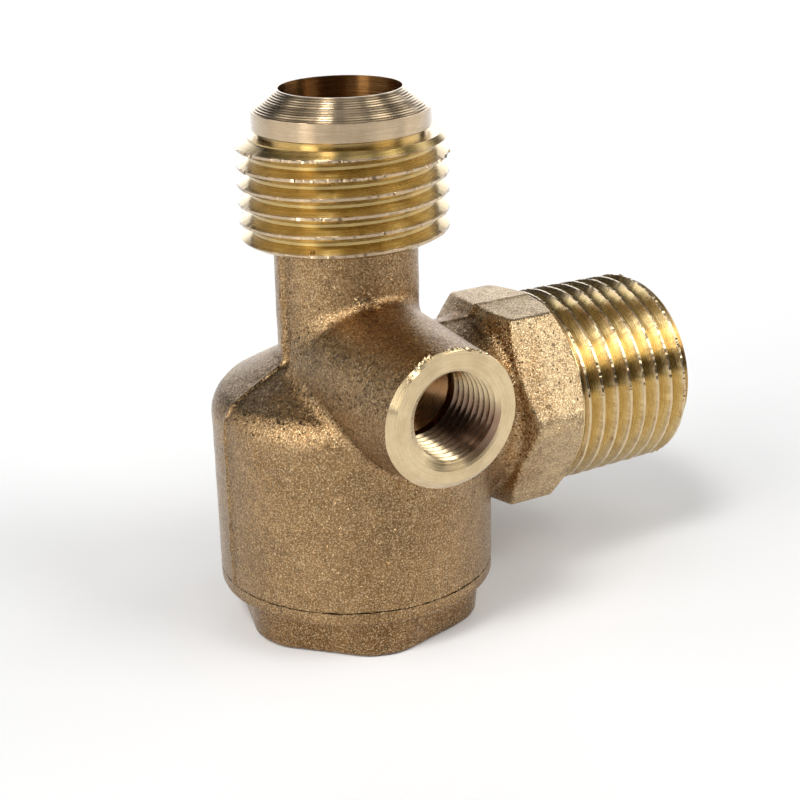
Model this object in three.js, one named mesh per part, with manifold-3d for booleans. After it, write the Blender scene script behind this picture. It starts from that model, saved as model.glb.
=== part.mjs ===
// Brass non-return valve for a small air compressor, in millimetres, +Z up.
// A forged body with three ports: a male flare inlet on top, a male pipe thread to the tank
// on the +X side and a small tapped port towards -Y. A hexagon plug closes the valve chamber
// from below. Inside it a spring holds a rubber-faced poppet against the seat.
// The origin is at the middle of the plug's bottom face.
import * as THREE from "three";
import { mergeVertices } from "three/addons/utils/BufferGeometryUtils.js";
import Module from "manifold-3d";

const wasm = await Module();
wasm.setup();

// ---------- driving dimensions ----------
const ROUND_SEGMENTS = 40;
const BORE_SEGMENTS = 24;
const THREAD_SEGMENTS = 24;
const ENVELOPE_MARGIN = 0.4; // how far a thread's trimming shape stands clear of its crests

const BODY_RADIUS = 14.37;
const SEAM_Z = 6.0; // where plug and body meet
const SEAM_GAP = 0.2;
const DOME_SLOPE = 0.555; // fall of the dome for each millimetre of radius
const DOME_TOP_Z = 28.87;
const SHOULDER_RADIUS = 2.0;
const NECK_RADIUS = 7.23;
const FLASH_HEIGHT = 0.25; // forging flash left along the parting plane y = 0
const FLASH_WIDTH = 0.8;

const INLET = {
  crestRadius: 10.4, // G 1/2
  rootRadius: 9.25,
  pitch: 1.814,
  crestAt: 0.33, // height of a crest on the +X side, give or take whole turns
  threadBottomZ: 41.07,
  threadTopZ: 51.2,
  threadTopRadius: 9.6,
  undercutRadius: 8.35,
  collarRadius: 8.786,
  collarBottomZ: 51.75,
  collarTopZ: 53.63,
  rimRadius: 6.2,
  topZ: 55.58,
  boreRadius: 6.03,
  boreBottomZ: 44,
};
const NECK_BORE_RADIUS = 4.6;

const OUTLET = {
  axisZ: 20.1,
  crestRadius: 10.62, // R 1/2, at the hexagon end
  rootRadius: 9.47,
  pitch: 1.814,
  crestAt: 1.43,
  taper: 0.0156, // loss of radius for each millimetre: half of 1 in 32
  threadStartX: 21.9,
  endX: 36.66,
  endChamfer: 1.0,
  boreRadius: 5.4,
  stubRadius: 9.4,
  hexAcrossFlats: 20.9,
  hexCornerRadius: 1.2,
  hexStartX: 14.3,
  hexEndX: 22.0,
};

const PORT = {
  axisZ: 28.01,
  faceY: -20.73,
  faceRadius: 6.47,
  bossRadius: 6.85, // of the forging at the face
  bossDraft: 0.06,
  bossDraftLength: 13.0, // beyond this, towards the neck, the boss keeps its radius
  bossStart: 2.0,
  bossOffsetX: -0.3, // the forging is a little off the drilled axis
  bossOffsetZ: -0.2,
  chamferDepth: 0.75,
  countersinkRadius: 5.17,
  countersinkDepth: 0.55,
  crestRadius: 4.28, // G 1/8, female: the crests point inwards
  rootRadius: 4.86,
  pitch: 0.907,
  threadEndY: -12.2,
  drillRadius: 2.25,
  drillPointAngle: 118 * (Math.PI / 180),
};

const CHAMBER = {
  radius: 10.5,
  ceilingZ: 24.8,
  seatZ: 24.0,
  seatOuterRadius: 5.8,
  ringGrooveRadius: 12.5,
  ringGrooveTopZ: 7.6,
};

const PLUG = {
  hexAcrossFlats: 24.05,
  hexCornerRadius: 6.0,
  hexTurn: -105.2 * (Math.PI / 180), // how the hexagon happened to stop when it was tightened
  hexTopZ: 4.2,
  edgeRound: 0.9,
  flangeEdgeZ: 4.75,
  threadCrestRadius: 11.35,
  threadRootRadius: 10.45,
  threadPitch: 1.5,
  threadTopZ: 13.0,
  threadClearance: 0.3,
  reliefRadius: 10.4,
  cupRadius: 8.2,
  cupFloorZ: 5.0,
  guideOuterRadius: 4.3,
  guideBoreRadius: 3.15,
  guideBottomZ: 3.0,
};

const POPPET = {
  headRadius: 7.6,
  headBottomZ: 19.6,
  headTopZ: 22.8,
  recessRadius: 6.6,
  recessFloorZ: 21.2,
  spigotRadius: 4.6,
  spigotBottomZ: 18.4,
  stemRadius: 3.0,
  stemBottomZ: 8.0,
};

const DISC = { radius: 6.3, bottomZ: 21.5, seatGap: 0.1 };
const RING = { radius: 11.55, sectionRadius: 0.72 };
const SPRING = { radius: 5.4, wireRadius: 0.45, turns: 6, stepsPerTurn: 12, endGap: 0.1 };

// ---------- materials ----------
const forgedBrass = new THREE.MeshStandardMaterial({ color: 0x94754a, roughness: 0.55, metalness: 0.9 });
const turnedBrass = new THREE.MeshStandardMaterial({ color: 0xc9a55c, roughness: 0.3, metalness: 1.0 });
const blackRubber = new THREE.MeshStandardMaterial({ color: 0x1c1c1c, roughness: 0.8, metalness: 0.0 });
const springSteel = new THREE.MeshStandardMaterial({ color: 0xb9bcc0, roughness: 0.3, metalness: 1.0 });

// ---------- solids ----------
function solid(geometry) {
  const bare = geometry.index ? geometry.toNonIndexed() : geometry.clone();
  bare.deleteAttribute("normal");
  bare.deleteAttribute("uv");
  const merged = mergeVertices(bare, 1e-4);
  return new wasm.Manifold(
    new wasm.Mesh({
      numProp: 3,
      vertProperties: merged.attributes.position.array,
      triVerts: new Uint32Array(merged.index.array),
    }),
  );
}

function meshOf(name, shape, material) {
  const made = shape.getMesh();
  const geometry = new THREE.BufferGeometry();
  geometry.setAttribute("position", new THREE.BufferAttribute(new Float32Array(made.vertProperties), 3));
  geometry.setIndex(new THREE.BufferAttribute(new Uint32Array(made.triVerts), 1));
  geometry.computeVertexNormals();
  const mesh = new THREE.Mesh(geometry, material);
  mesh.name = name;
  return mesh;
}

function union(...shapes) {
  return shapes.reduce((whole, shape) => whole.add(shape));
}

// A body turned about +Z from [radius, height] points, listed upwards along the outside.
function turned(points, segments = ROUND_SEGMENTS) {
  const profile = points.map(([radius, height]) => new THREE.Vector2(radius, height));
  return new THREE.LatheGeometry(profile, segments).rotateX(Math.PI / 2);
}

function cylinder(radius, bottom, top, segments = BORE_SEGMENTS) {
  return turned([[0, bottom], [radius, bottom], [radius, top], [0, top]], segments);
}

// Turns a geometry made about +Z so that it runs along +X at the outlet's height.
function alongOutlet(geometry) {
  return geometry.rotateY(Math.PI / 2).translate(0, 0, OUTLET.axisZ);
}

// Turns a geometry made about +Z so that it runs along -Y at the small port's height.
function alongPort(geometry) {
  return geometry.rotateX(Math.PI / 2).translate(0, 0, PORT.axisZ);
}

function roundedHexagon(acrossFlats, cornerRadius, turn) {
  const cornerDistance = (acrossFlats / 2 - cornerRadius) / Math.cos(Math.PI / 6);
  const shape = new THREE.Shape();
  for (let corner = 0; corner < 6; corner += 1) {
    const angle = turn + (corner * Math.PI) / 3;
    const x = cornerDistance * Math.cos(angle);
    const y = cornerDistance * Math.sin(angle);
    shape.absarc(x, y, cornerRadius, angle - Math.PI / 6, angle + Math.PI / 6, false);
  }
  shape.closePath();
  return shape;
}

function hexagonBar(acrossFlats, cornerRadius, turn, length) {
  const outline = roundedHexagon(acrossFlats, cornerRadius, turn);
  return new THREE.ExtrudeGeometry(outline, { depth: length, bevelEnabled: false, curveSegments: 5 });
}

// A rod about +Z with a right-hand thread, longer than bottom..top so that it can be trimmed.
// Each turn of the helix has four rows, both edges of the root and both edges of the crest,
// or only two when the thread is a sharp V.
function threadedRod(thread) {
  const { rootRadius, crestRadius, pitch, bottom, top, crestAt = 0, taper = 0, sharp = false } = thread;
  const segments = thread.segments ?? THREAD_SEGMENTS;
  const flat = [
    { part: 0, radius: rootRadius },
    { part: 0.14, radius: rootRadius },
    { part: 0.48, radius: crestRadius },
    { part: 0.66, radius: crestRadius },
  ];
  const vee = [
    { part: 0, radius: rootRadius },
    { part: 0.5, radius: crestRadius },
  ];
  const rows = sharp ? vee : flat;
  const crestMiddle = sharp ? 0.5 : 0.57;
  const firstTurn = Math.floor((bottom - crestAt) / pitch) - 1;
  const turns = Math.ceil((top - bottom) / pitch) + 2;
  const rowCount = turns * rows.length;
  const positions = [];
  const indices = [];
  const columnsOf = segments + 1;
  for (let row = 0; row <= rowCount; row += 1) {
    const { part, radius } = rows[row % rows.length];
    for (let column = 0; column <= segments; column += 1) {
      const angle = (column / segments) * 2 * Math.PI;
      const turn = firstTurn + Math.floor(row / rows.length) + part + column / segments;
      const z = crestAt + pitch * (turn - crestMiddle);
      const here = radius - taper * (z - bottom);
      positions.push(here * Math.cos(angle), here * Math.sin(angle), z);
    }
  }
  for (let row = 0; row < rowCount; row += 1) {
    for (let column = 0; column < segments; column += 1) {
      const a = row * columnsOf + column;
      const b = a + columnsOf;
      indices.push(a, a + 1, b + 1, a, b + 1, b);
    }
  }
  capThreadEnd(positions, indices, columnsOf, 0, rows.length, bottom - 3 * pitch, true);
  const lastRow = rowCount - rows.length;
  capThreadEnd(positions, indices, columnsOf, lastRow, rows.length, top + 3 * pitch, false);
  const geometry = new THREE.BufferGeometry();
  geometry.setAttribute("position", new THREE.Float32BufferAttribute(positions, 3));
  geometry.setIndex(indices);
  return geometry;
}

// Closes one end of a threaded rod with a fan from a point on the axis. The open edge there is one
// turn of the helix and the step of one pitch that joins the turn's two ends.
function capThreadEnd(positions, indices, columnsOf, firstRow, rowsPerTurn, tipZ, isBottom) {
  const tip = positions.length / 3;
  positions.push(0, 0, tipZ);
  const edge = [];
  const turnRow = isBottom ? firstRow : firstRow + rowsPerTurn;
  for (let column = 0; column < columnsOf; column += 1) edge.push(turnRow * columnsOf + column);
  const stepColumn = isBottom ? 0 : columnsOf - 1;
  const step = [];
  for (let row = 1; row < rowsPerTurn; row += 1) step.push((firstRow + row) * columnsOf + stepColumn);
  edge.push(...step.reverse());
  for (let i = 0; i < edge.length; i += 1) {
    const next = edge[(i + 1) % edge.length];
    if (isBottom) indices.push(tip, next, edge[i]);
    else indices.push(tip, edge[i], next);
  }
}

// ---------- forged body ----------
// The outside of the chamber, dome and neck, grown by a little where the flash stands out.
function chamberOutside(grow) {
  const radius = BODY_RADIUS + grow;
  const neck = NECK_RADIUS + grow;
  const domeAt = (r) => DOME_TOP_Z + grow - (r - NECK_RADIUS) * DOME_SLOPE;
  const slopeAngle = Math.atan(DOME_SLOPE);
  const tangent = SHOULDER_RADIUS * Math.tan((Math.PI / 2 - slopeAngle) / 2);
  const cornerZ = domeAt(radius);
  const points = [[0, SEAM_Z], [radius, SEAM_Z]];
  const steps = 4;
  for (let step = 0; step <= steps; step += 1) {
    const angle = (step / steps) * (Math.PI / 2 - slopeAngle);
    const r = radius - SHOULDER_RADIUS * (1 - Math.cos(angle));
    const z = cornerZ - tangent + SHOULDER_RADIUS * Math.sin(angle);
    points.push([r, z]);
  }
  points.push([neck, domeAt(neck)], [neck, INLET.threadBottomZ + 1], [0, INLET.threadBottomZ + 1]);
  return solid(turned(points));
}

function outletOutside(grow) {
  const { stubRadius, hexAcrossFlats, hexCornerRadius, hexStartX, hexEndX } = OUTLET;
  const stub = solid(alongOutlet(cylinder(stubRadius + grow, 6, hexStartX + 1, ROUND_SEGMENTS)));
  const bar = hexagonBar(hexAcrossFlats + 2 * grow, hexCornerRadius, Math.PI / 2, hexEndX - hexStartX);
  const hexagon = solid(alongOutlet(bar.translate(0, 0, hexStartX)));
  const cornerReach = hexAcrossFlats / 2 / Math.cos(Math.PI / 6) + 1;
  const chamfers = turned([
    [0, hexStartX],
    [9.8 + grow, hexStartX],
    [10.6 + grow, hexStartX + 0.75],
    [cornerReach + grow, hexStartX + 2.0],
    [cornerReach + grow, hexEndX - 2.2],
    [10.35 + grow, hexEndX],
    [0, hexEndX],
  ]);
  return stub.add(hexagon.intersect(solid(alongOutlet(chamfers))));
}

function portBoss() {
  const length = -PORT.faceY;
  const widest = PORT.bossRadius + PORT.bossDraft * PORT.bossDraftLength;
  const boss = turned([
    [0, PORT.bossStart],
    [widest, PORT.bossStart],
    [widest, length - PORT.bossDraftLength],
    [PORT.bossRadius, length],
    [0, length],
  ]).translate(PORT.bossOffsetX, PORT.bossOffsetZ, 0);
  const reach = PORT.faceRadius + PORT.chamferDepth;
  const machined = turned([
    [0, 0],
    [reach + 4, 0],
    [reach + 4, length - PORT.chamferDepth - 0.01],
    [reach, length - PORT.chamferDepth],
    [PORT.faceRadius, length],
    [0, length],
  ]);
  return solid(alongPort(boss)).intersect(solid(alongPort(machined)));
}

function inletEnd() {
  const { crestRadius, threadBottomZ, threadTopZ, threadTopRadius } = INLET;
  const rod = threadedRod({ ...INLET, bottom: threadBottomZ, top: threadTopZ });
  const envelope = turned([
    [0, threadBottomZ],
    [crestRadius - 0.25, threadBottomZ],
    [crestRadius + ENVELOPE_MARGIN, threadBottomZ + 0.25 + ENVELOPE_MARGIN],
    [crestRadius + ENVELOPE_MARGIN, threadTopZ - (crestRadius - threadTopRadius) - ENVELOPE_MARGIN],
    [threadTopRadius, threadTopZ],
    [0, threadTopZ],
  ]);
  const nose = turned([
    [0, threadTopZ - 1],
    [INLET.undercutRadius, threadTopZ - 1],
    [INLET.undercutRadius, INLET.collarBottomZ - 0.1],
    [INLET.collarRadius, INLET.collarBottomZ],
    [INLET.collarRadius, INLET.collarTopZ],
    [INLET.rimRadius, INLET.topZ],
    [0, INLET.topZ],
  ]);
  return solid(rod).intersect(solid(envelope)).add(solid(nose));
}

function outletEnd() {
  const { crestRadius, rootRadius, threadStartX, endX, endChamfer, taper } = OUTLET;
  const rod = threadedRod({ ...OUTLET, bottom: threadStartX, top: endX });
  const endRadius = crestRadius - taper * (endX - threadStartX);
  const envelope = turned([
    [0, threadStartX - 1],
    [rootRadius, threadStartX - 1],
    [crestRadius + ENVELOPE_MARGIN, threadStartX + 0.6],
    [endRadius + ENVELOPE_MARGIN, endX - endChamfer - ENVELOPE_MARGIN],
    [endRadius - endChamfer, endX],
    [0, endX],
  ]);
  const core = cylinder(rootRadius - 0.1, threadStartX - 2, threadStartX + 2, ROUND_SEGMENTS);
  const thread = solid(alongOutlet(rod)).intersect(solid(alongOutlet(envelope)));
  return thread.add(solid(alongOutlet(core)));
}

function flashLine() {
  const slab = new THREE.BoxGeometry(80, FLASH_WIDTH, 80).translate(0, 0, 30);
  const grown = chamberOutside(FLASH_HEIGHT).add(outletOutside(FLASH_HEIGHT));
  return grown.intersect(solid(slab));
}

// Everything that is drilled, tapped or turned out of the body.
function bodyHollows() {
  const { radius, ceilingZ, seatZ, seatOuterRadius, ringGrooveRadius, ringGrooveTopZ } = CHAMBER;
  const below = SEAM_Z - 1;
  const chamber = turned([
    [0, below],
    [ringGrooveRadius, below],
    [ringGrooveRadius, ringGrooveTopZ],
    [radius, ringGrooveTopZ],
    [radius, ceilingZ - 1.2],
    [radius - 1.2, ceilingZ],
    [seatOuterRadius + 0.5, ceilingZ],
    [seatOuterRadius, seatZ],
    [0, seatZ],
  ]);
  const clearance = PLUG.threadClearance;
  const plugThread = threadedRod({
    rootRadius: PLUG.threadRootRadius + clearance,
    crestRadius: PLUG.threadCrestRadius + clearance,
    pitch: PLUG.threadPitch,
    bottom: SEAM_Z,
    top: PLUG.threadTopZ,
    sharp: true,
  });
  const plugThreadLength = cylinder(radius + 2, below, PLUG.threadTopZ + 0.6, ROUND_SEGMENTS);
  const inletBore = turned(
    [
      [0, seatZ - 1],
      [NECK_BORE_RADIUS, seatZ - 1],
      [NECK_BORE_RADIUS, INLET.boreBottomZ],
      [INLET.boreRadius, INLET.boreBottomZ + 1],
      [INLET.boreRadius, INLET.topZ + 1],
      [0, INLET.topZ + 1],
    ],
    BORE_SEGMENTS,
  );
  const outletBore = cylinder(OUTLET.boreRadius, radius - 0.4, OUTLET.endX + 1);
  return [
    solid(chamber),
    solid(plugThread).intersect(solid(plugThreadLength)),
    solid(inletBore),
    solid(alongOutlet(outletBore)),
    ...portHollows(),
  ];
}

function portHollows() {
  const length = -PORT.faceY;
  const threadEnd = -PORT.threadEndY;
  const tap = threadedRod({
    rootRadius: PORT.crestRadius,
    crestRadius: PORT.rootRadius,
    pitch: PORT.pitch,
    bottom: threadEnd + 1,
    top: length,
    sharp: true,
    segments: 20,
  });
  const tapLength = cylinder(PORT.rootRadius + 1, threadEnd + 1, length + 1);
  const sinkSlope = (PORT.countersinkRadius - PORT.crestRadius) / PORT.countersinkDepth;
  const pointDepth = (PORT.crestRadius - PORT.drillRadius) / Math.tan(PORT.drillPointAngle / 2);
  const drillings = turned([
    [0, NECK_BORE_RADIUS - 1],
    [PORT.drillRadius, NECK_BORE_RADIUS - 1],
    [PORT.drillRadius, threadEnd - pointDepth],
    [PORT.crestRadius, threadEnd],
    [PORT.crestRadius, length - PORT.countersinkDepth],
    [PORT.countersinkRadius + sinkSlope, length + 1],
    [0, length + 1],
  ], BORE_SEGMENTS);
  return [solid(alongPort(tap)).intersect(solid(alongPort(tapLength))), solid(alongPort(drillings))];
}

function valveBody() {
  const forged = union(chamberOutside(0), outletOutside(0), flashLine(), portBoss());
  const outside = union(forged, inletEnd(), outletEnd());
  return bodyHollows().reduce((body, hollow) => body.subtract(hollow), outside);
}

// ---------- hexagon plug ----------
function bottomPlug() {
  const { hexAcrossFlats, hexCornerRadius, hexTurn, hexTopZ, edgeRound } = PLUG;
  const bar = solid(hexagonBar(hexAcrossFlats, hexCornerRadius, hexTurn, hexTopZ + 0.3));
  const cornerReach = (hexAcrossFlats / 2 - hexCornerRadius) / Math.cos(Math.PI / 6) + hexCornerRadius;
  const edge = turned([
    [0, 0],
    [hexAcrossFlats / 2 - edgeRound, 0],
    [cornerReach + 0.1, edgeRound],
    [cornerReach + 0.1, hexTopZ + 1],
    [0, hexTopZ + 1],
  ]);
  const flangeTop = SEAM_Z - SEAM_GAP;
  const turnedPart = turned([
    [0, hexTopZ - 0.5],
    [hexAcrossFlats / 2 - 0.5, hexTopZ - 0.5],
    [hexAcrossFlats / 2 + 1.3, hexTopZ],
    [BODY_RADIUS, PLUG.flangeEdgeZ],
    [BODY_RADIUS, flangeTop],
    [PLUG.reliefRadius, flangeTop],
    [PLUG.reliefRadius, CHAMBER.ringGrooveTopZ + 1],
    [0, CHAMBER.ringGrooveTopZ + 1],
  ]);
  const threadBottom = CHAMBER.ringGrooveTopZ + 0.3;
  const rod = threadedRod({
    rootRadius: PLUG.threadRootRadius,
    crestRadius: PLUG.threadCrestRadius,
    pitch: PLUG.threadPitch,
    bottom: SEAM_Z,
    top: PLUG.threadTopZ,
    sharp: true,
  });
  const envelope = turned([
    [0, threadBottom],
    [PLUG.reliefRadius, threadBottom],
    [PLUG.threadCrestRadius + ENVELOPE_MARGIN, threadBottom + 1],
    [PLUG.threadCrestRadius + ENVELOPE_MARGIN, PLUG.threadTopZ - 1],
    [PLUG.threadRootRadius, PLUG.threadTopZ],
    [0, PLUG.threadTopZ],
  ]);
  const cup = turned([
    [PLUG.guideOuterRadius, PLUG.cupFloorZ],
    [PLUG.cupRadius, PLUG.cupFloorZ],
    [PLUG.cupRadius, PLUG.threadTopZ + 1],
    [PLUG.guideOuterRadius, PLUG.threadTopZ + 1],
    [PLUG.guideOuterRadius, PLUG.cupFloorZ],
  ]);
  const guideBore = cylinder(PLUG.guideBoreRadius, PLUG.guideBottomZ, PLUG.threadTopZ + 1);
  return bar
    .intersect(solid(edge))
    .add(solid(turnedPart))
    .add(solid(rod).intersect(solid(envelope)))
    .subtract(solid(cup))
    .subtract(solid(guideBore));
}

// ---------- inner pieces ----------
function plugRing() {
  const steps = 8;
  const centreZ = SEAM_Z - SEAM_GAP + 0.1 + RING.sectionRadius;
  const points = [];
  for (let step = 0; step <= steps; step += 1) {
    const angle = ((step % steps) / steps) * 2 * Math.PI;
    const outwards = RING.sectionRadius * Math.cos(angle);
    points.push([RING.radius + outwards, centreZ + RING.sectionRadius * Math.sin(angle)]);
  }
  return solid(turned(points, 32));
}

function poppet() {
  const { headRadius, headBottomZ, headTopZ, recessRadius, recessFloorZ } = POPPET;
  return solid(turned([
    [0, POPPET.stemBottomZ],
    [POPPET.stemRadius - 0.5, POPPET.stemBottomZ],
    [POPPET.stemRadius, POPPET.stemBottomZ + 0.5],
    [POPPET.stemRadius, POPPET.spigotBottomZ],
    [POPPET.spigotRadius, POPPET.spigotBottomZ],
    [POPPET.spigotRadius, headBottomZ],
    [headRadius - 0.5, headBottomZ],
    [headRadius, headBottomZ + 0.5],
    [headRadius, headTopZ - 0.3],
    [headRadius - 0.3, headTopZ],
    [recessRadius, headTopZ],
    [recessRadius, recessFloorZ],
    [0, recessFloorZ],
  ], 32));
}

function sealDisc() {
  return solid(cylinder(DISC.radius, DISC.bottomZ, CHAMBER.seatZ - DISC.seatGap, 32));
}

// The spring's centre line: an even helix between two end turns that lie flat.
class SpringLine extends THREE.Curve {
  constructor(bottom, top) {
    super();
    this.bottom = bottom;
    this.top = top;
  }

  getPoint(t, target = new THREE.Vector3()) {
    const turn = t * SPRING.turns;
    const endRise = 2 * SPRING.wireRadius + 0.12;
    const middleRise = (this.top - this.bottom - 2 * endRise) / (SPRING.turns - 2);
    const rise = (upTo) => Math.min(upTo, 1) * endRise + Math.max(upTo - 1, 0) * middleRise;
    const fromTop = SPRING.turns - turn;
    const z = fromTop < 1 ? this.top - fromTop * endRise : this.bottom + rise(turn);
    const angle = 2 * Math.PI * turn;
    return target.set(SPRING.radius * Math.cos(angle), SPRING.radius * Math.sin(angle), z);
  }
}

function returnSpring() {
  const bottom = PLUG.cupFloorZ + SPRING.endGap + SPRING.wireRadius;
  const top = POPPET.headBottomZ - SPRING.endGap - SPRING.wireRadius;
  const section = new THREE.Shape();
  section.absarc(0, 0, SPRING.wireRadius, 0, 2 * Math.PI, false);
  const path = new SpringLine(bottom, top);
  const steps = SPRING.turns * SPRING.stepsPerTurn;
  return solid(new THREE.ExtrudeGeometry(section, { steps, curveSegments: 3, extrudePath: path }));
}

// ---------- assembly ----------
const valve = new THREE.Group();
valve.add(meshOf("valve_body", valveBody(), forgedBrass));
valve.add(meshOf("bottom_plug", bottomPlug(), forgedBrass));
valve.add(meshOf("plug_o_ring", plugRing(), blackRubber));
valve.add(meshOf("return_spring", returnSpring(), springSteel));
const slider = new THREE.Group();
slider.add(meshOf("poppet", poppet(), turnedBrass));
slider.add(meshOf("seal_disc", sealDisc(), blackRubber));
valve.add(slider);

export default valve;
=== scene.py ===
"""Looks of the brass check valve: forged and turned brass, rubber, spring steel, light and camera.

Shapes are worked out in millimetres in the frame of the CAD model and turned into metres when a
mesh is made. The forging is the zero level of a distance field, so that its fillets, its drafts and
the flash along the parting plane run into each other as they do on the real part. Everything that is
turned, drilled or tapped is a separate solid that is then joined to the forging or cut from it. In
the outlines of these solids, an addition such as top + 1 lets one reach past what it joins or cuts.
"""
import math

import bmesh
import bpy
import numpy as np
from mathutils import Matrix, Vector


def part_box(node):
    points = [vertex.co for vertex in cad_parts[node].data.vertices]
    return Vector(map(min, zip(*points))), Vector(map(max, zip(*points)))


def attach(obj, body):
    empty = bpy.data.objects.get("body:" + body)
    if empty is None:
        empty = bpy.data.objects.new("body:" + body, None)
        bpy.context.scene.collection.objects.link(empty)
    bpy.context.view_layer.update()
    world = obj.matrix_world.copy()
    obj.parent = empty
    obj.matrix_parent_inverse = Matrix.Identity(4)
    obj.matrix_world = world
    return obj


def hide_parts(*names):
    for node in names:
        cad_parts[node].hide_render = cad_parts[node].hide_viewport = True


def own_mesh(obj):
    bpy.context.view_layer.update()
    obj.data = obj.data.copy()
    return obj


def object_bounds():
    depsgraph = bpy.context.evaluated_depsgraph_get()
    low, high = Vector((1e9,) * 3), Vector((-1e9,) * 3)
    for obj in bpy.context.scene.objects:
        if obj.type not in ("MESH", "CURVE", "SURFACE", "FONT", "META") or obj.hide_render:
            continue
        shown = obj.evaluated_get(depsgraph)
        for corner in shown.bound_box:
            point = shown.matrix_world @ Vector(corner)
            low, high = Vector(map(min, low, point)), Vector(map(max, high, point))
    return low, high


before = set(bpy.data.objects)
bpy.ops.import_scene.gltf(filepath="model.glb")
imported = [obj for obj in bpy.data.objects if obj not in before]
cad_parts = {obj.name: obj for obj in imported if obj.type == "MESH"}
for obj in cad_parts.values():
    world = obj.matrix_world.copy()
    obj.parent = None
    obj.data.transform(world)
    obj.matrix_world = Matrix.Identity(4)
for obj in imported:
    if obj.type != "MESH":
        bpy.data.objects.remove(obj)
cad_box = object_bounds()

MM = 0.001
COS_30 = math.cos(math.pi / 6)
SIN_30 = math.sin(math.pi / 6)
RANDOM = np.random.default_rng(7)

# ---------- sizes, in millimetres ----------
GRID_STEP = 0.22
ROUND = 160  # sides of a turned solid
THREAD_COLUMNS = 480

# Where the surface turns by more degrees than these, the edge is shaded as a sharp one.
FORGED_EDGE = 50
TURNED_EDGE = 14
WIRE_EDGE = 60

BODY_RADIUS = 14.37
SEAM_Z = 6.0
SEAM_GAP = 0.13
DOME_SLOPE = 0.555
DOME_TOP_Z = 28.87
SHOULDER_ROUND = 1.6
NECK_RADIUS = 7.23
NECK_TOP_Z = 41.07
NECK_FILLET = 0.7
BOSS_FILLET = 1.1
ARM_FILLET = 1.5
FORGING_BOTTOM_Z = 5.2  # a little below the seam, where the rest is cut off
FLASH_HEIGHT = 0.15
FLASH_HALF_WIDTH = 0.25
FLASH_EXTRA_ON_NECK = 0.2  # by which the flash is both higher and wider there
FLASH_LOSS_ON_ARM = 0.06
SLOW_WAVE = 0.035
QUICK_WAVE = 0.012

INLET = dict(crest=10.4, root=9.24, pitch=1.814, crest_at=0.33, bottom=41.07, top=51.2)
INLET_TOP_RADIUS = 9.75
NOSE = dict(undercut=8.35, collar=8.786, collar_bottom=51.75, collar_top=53.63, rim=6.2, top=55.58)
INLET_BORE_RADIUS = 6.03
INLET_BORE_BOTTOM = 44.0
NECK_BORE_RADIUS = 4.6

OUTLET_AXIS_Z = 20.1
OUTLET = dict(crest=10.62, root=9.46, pitch=1.814, crest_at=1.43, bottom=21.9, top=36.66, taper=0.0156)
OUTLET_BORE_RADIUS = 5.4
STUB_RADIUS = 9.4
STUB_FILLET = 0.6
HEX_APOTHEM = 10.45
HEX_PEAK = 10.72  # height of the drafted top and bottom flats at the parting plane
HEX_HALF_WIDTH = 11.65  # where the side corners are trimmed off
HEX_LEFT_X = 15.0
HEX_LEFT_STEEPNESS = 1.9
HEX_RIGHT_X = 22.0
HEX_RIGHT_CHAMFER = 1.7
HEX_EDGE_ROUND = 0.22
HEX_CORNER_ROUND = 0.25
HEX_LEFT_ROUND = 0.2

PORT_AXIS_Z = 28.01
PORT_FACE = 20.73  # distance of the face from the inlet axis, towards -Y
PORT_FACE_RADIUS = 6.47
PORT_FACE_CHAMFER = 1.6
PORT_SINK_RADIUS = 5.3
PORT_SINK_DEPTH = 0.3
PORT = dict(crest=4.86, root=4.28, pitch=0.907, crest_at=0.2, bottom=13.2, top=PORT_FACE)
PORT_THREAD_END = 12.2
PORT_SHADE_END = (4.95, 5.05)  # radii between which the painted shade on the port's wall ends
PORT_DRILL_RADIUS = 2.25
DRILL_POINT = math.radians(118)
BOSS_RADIUS = 6.85
BOSS_DRAFT = 0.06
BOSS_DRAFT_LENGTH = 13.0  # nearer the neck than this the boss keeps its radius
BOSS_OFFSET_X = -0.3
BOSS_OFFSET_Z = -0.2

CHAMBER_RADIUS = 10.5
CEILING_Z = 24.8
SEAT_Z = 24.0
SEAT_OUTER_RADIUS = 5.8
RING_GROOVE_RADIUS = 12.5
RING_GROOVE_TOP = 7.6

PLUG_APOTHEM = 12.02
PLUG_CORNER = 6.0
PLUG_DRAFT = 0.085
PLUG_DRAFT_MIDDLE = 2.0  # height at which the hexagon has its stated width
PLUG_EDGE_ROUND = 0.55
PLUG_FLANGE_ROUND = 0.3
PLUG_TURN = math.radians(-105.2)
PLUG_HEX_TOP = 4.2
PLUG_THREAD = dict(crest=11.35, root=10.45, pitch=1.5, crest_at=0.0, bottom=7.9, top=13.0)
PLUG_THREAD_CLEARANCE = 0.3
PLUG_RELIEF_RADIUS = 10.4
CUP_RADIUS = 8.2
CUP_FLOOR = 5.0
GUIDE_OUTER_RADIUS = 4.3
GUIDE_BORE_RADIUS = 3.15
GUIDE_BOTTOM = 3.0

SPRING_WIRE = 0.45  # radius
SPRING_TURNS = 6

# Small marks of making and wear. Arcs run between two angles about their axis, in degrees.
THREAD_DENT = dict(start=-139.8, end=-133.8, thickness=0.7)
THREAD_DENT_Z = 42.15
PORT_NICK = dict(start=56, end=82, thickness=0.45)
PORT_BURRS = [(84, 100, 0.2), (110, 129, 0.34), (131, 140, 0.22)]  # start, end, thickness
CONE_BURR_STARTS = [-170, -128, -84, -50, -12]
CONE_BURR_LENGTH = 32
CONE_BURR_THICKNESS = 0.06
CONE_GROOVES = 11
CONE_GROOVE_DEPTH = 0.03
INLET_BURR = 0.015
OUTLET_BURR = 0.013
PORT_THREAD_BURR = 0.006
SEAM_UNEVENNESS = 0.06
SLIVER = ((-1.7, -7.35, 36.9), (-0.7, -8.2, 35.3))  # ends of the sliver that the die left
SLIVER_RADIUS = 0.16
SLIVER_FILLET = 0.12


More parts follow.
